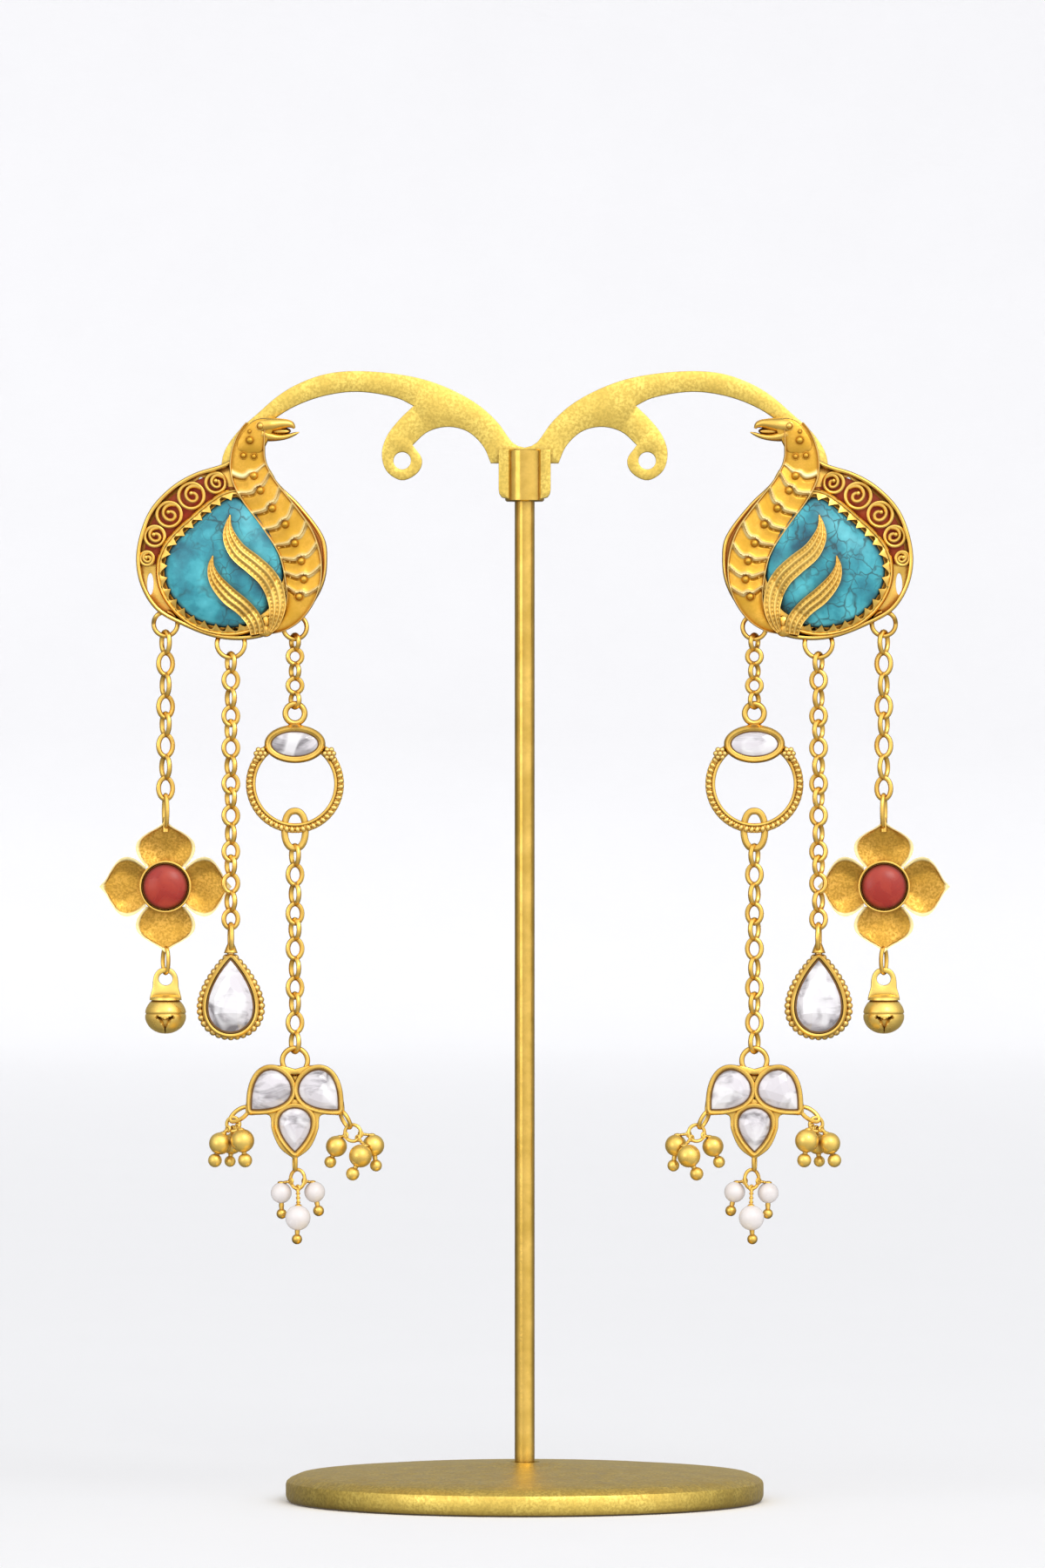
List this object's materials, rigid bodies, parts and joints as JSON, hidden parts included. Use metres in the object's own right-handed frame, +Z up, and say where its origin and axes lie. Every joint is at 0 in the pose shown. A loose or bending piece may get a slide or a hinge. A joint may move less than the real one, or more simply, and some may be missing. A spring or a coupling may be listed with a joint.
{
  "type": "pair of jhumka earrings on a display stand",
  "caption": "Peacock-topped jhumka earrings with chain drops, hanging from a T-shaped display stand with scrolled arms and a round foot.",
  "frame": {"origin": "centre of the foot's underside, on the floor", "axes": "+Z up, -Y the front that the earrings face, +X to the viewer's right"},
  "size_m": [0.0978, 0.055, 0.13],
  "materials": {
    "stand_metal": "satin",
    "gold": "matte antique gold plating",
    "turquoise": "polished, dark matrix veins",
    "enamel": "matte enamel",
    "crystal": "foil-backed, faceted",
    "coral": "polished",
    "pearl": "pearl lustre"
  },
  "bodies": {
    "root": {"stand_base": "stand_metal", "stand_post": "stand_metal", "stand_collar": "stand_metal", "stand_arms": "stand_metal", "peacock_frame_right": "gold", "back_nut_right": "gold", "hoop_setting_right": "gold", "chain_inner_upper_right": "gold", "chain_centre_1_right": "gold", "chain_centre_2_right": "gold", "chain_centre_3_right": "gold", "chain_centre_4_right": "gold", "chain_outer_1_right": "gold", "chain_outer_2_right": "gold", "chain_inner_lower_1_right": "gold", "chain_inner_lower_2_right": "gold", "chain_inner_lower_3_right": "gold", "turquoise_right": "turquoise", "enamel_right": "enamel", "oval_crystal_right": "crystal", "peacock_frame_left": "gold", "back_nut_left": "gold", "hoop_setting_left": "gold", "chain_inner_upper_left": "gold", "chain_centre_1_left": "gold", "chain_centre_2_left": "gold", "chain_centre_3_left": "gold", "chain_centre_4_left": "gold", "chain_outer_1_left": "gold", "chain_outer_2_left": "gold", "chain_inner_lower_1_left": "gold", "chain_inner_lower_2_left": "gold", "chain_inner_lower_3_left": "gold", "turquoise_left": "turquoise", "enamel_left": "enamel", "oval_crystal_left": "crystal"},
    "pear_right": {"pear_setting_right": "gold", "pear_crystal_right": "crystal"},
    "flower_right": {"flower_right": "gold", "coral_right": "coral", "bell_right": "gold"},
    "trefoil_right": {"trefoil_frame_right": "gold", "trefoil_stone_side_right": "crystal", "trefoil_stone_inner_right": "crystal", "trefoil_stone_lower_right": "crystal", "gold_beads_side_right": "gold", "gold_beads_inner_right": "gold", "pearl_cluster_right": "pearl"},
    "pear_left": {"pear_setting_left": "gold", "pear_crystal_left": "crystal"},
    "flower_left": {"flower_left": "gold", "coral_left": "coral", "bell_left": "gold"},
    "trefoil_left": {"trefoil_frame_left": "gold", "trefoil_stone_side_left": "crystal", "trefoil_stone_inner_left": "crystal", "trefoil_stone_lower_left": "crystal", "gold_beads_side_left": "gold", "gold_beads_inner_left": "gold", "pearl_cluster_left": "pearl"}
  },
  "joints": [
    {"name": "pear_swing_right", "type": "hinge", "parent": "root", "child": "pear_right", "pos_m": [0.03375, -0.0028, 0.06584], "axis": [1, 0, 0], "range_deg": [-20, 20]},
    {"name": "flower_swing_right", "type": "hinge", "parent": "root", "child": "flower_right", "pos_m": [0.0413, -0.00105, 0.08064], "axis": [1, 0, 0], "range_deg": [-1.2, 20]},
    {"name": "trefoil_swing_right", "type": "hinge", "parent": "root", "child": "trefoil_right", "pos_m": [0.0264, -0.0019, 0.05159], "axis": [0, 1, 0], "range_deg": [-12, 12]},
    {"name": "pear_swing_left", "type": "hinge", "parent": "root", "child": "pear_left", "pos_m": [-0.03375, -0.0028, 0.06584], "axis": [1, 0, 0], "range_deg": [-20, 20]},
    {"name": "flower_swing_left", "type": "hinge", "parent": "root", "child": "flower_left", "pos_m": [-0.0413, -0.00105, 0.08064], "axis": [1, 0, 0], "range_deg": [-1.2, 20]},
    {"name": "trefoil_swing_left", "type": "hinge", "parent": "root", "child": "trefoil_left", "pos_m": [-0.0264, -0.0019, 0.05159], "axis": [0, 1, 0], "range_deg": [-12, 12]}
  ]
}
